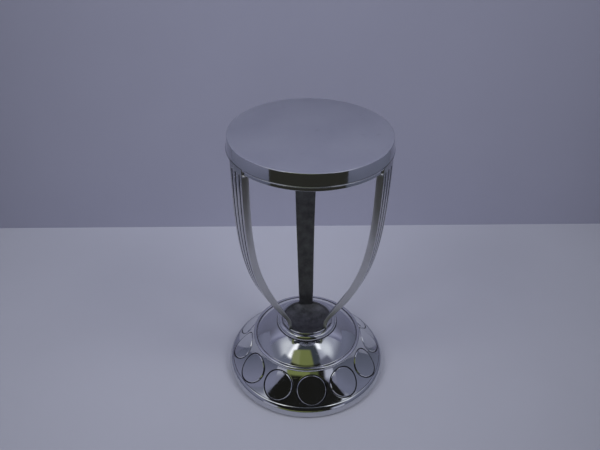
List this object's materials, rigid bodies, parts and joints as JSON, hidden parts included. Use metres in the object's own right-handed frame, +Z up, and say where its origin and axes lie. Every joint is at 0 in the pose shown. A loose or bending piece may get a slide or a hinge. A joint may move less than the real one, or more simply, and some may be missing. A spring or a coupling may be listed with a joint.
{
  "type": "pedestal stand",
  "caption": "Tabletop pedestal stand with a round polished plate on bowed, grooved legs, standing in the hub of a domed metal foot with a ring of round medallions.",
  "frame": {"origin": "centre of the foot, on the surface that the stand rests on", "axes": "+Z is up, along the axis of the plate and the foot; +Y points to the rear leg; +X is to the right as seen from the front"},
  "size_m": [0.22, 0.22, 0.363],
  "materials": {
    "satin_plate": "satin top face, polished skirt",
    "polished_chrome": "mirror polished",
    "leg_chrome": "polished, with dark grooves and a duller inner face",
    "shell_chrome": "mirror polished",
    "medallion_chrome": "mirror polished",
    "dull_casting": "dull unpolished casting with a polished rim",
    "boss_brass": "turned",
    "zinc_steel": "zinc plated",
    "ballast_iron": "rough casting",
    "cover_paint": "black stove enamel",
    "felt": "pressed wool felt"
  },
  "bodies": {
    "root": {"top_plate": "satin_plate", "plate_bosses": "boss_brass", "plate_screws": "zinc_steel", "carrier_ring": "polished_chrome", "leg_rear": "leg_chrome", "leg_left": "leg_chrome", "leg_right": "leg_chrome", "leg_head_screws": "zinc_steel", "hub": "dull_casting", "leg_foot_screws": "zinc_steel", "neck_collar": "polished_chrome", "base_shell": "shell_chrome", "medallion_01": "medallion_chrome", "medallion_02": "medallion_chrome", "medallion_03": "medallion_chrome", "medallion_04": "medallion_chrome", "medallion_05": "medallion_chrome", "medallion_06": "medallion_chrome", "medallion_07": "medallion_chrome", "medallion_08": "medallion_chrome", "medallion_09": "medallion_chrome", "medallion_10": "medallion_chrome", "medallion_11": "medallion_chrome", "medallion_12": "medallion_chrome", "foot_ring": "polished_chrome", "ballast_plate": "ballast_iron", "centre_stud": "zinc_steel", "centre_washer": "zinc_steel", "centre_nut": "zinc_steel", "bottom_cover": "cover_paint", "cover_screws": "zinc_steel", "felt_ring": "felt"}
  },
  "joints": []
}
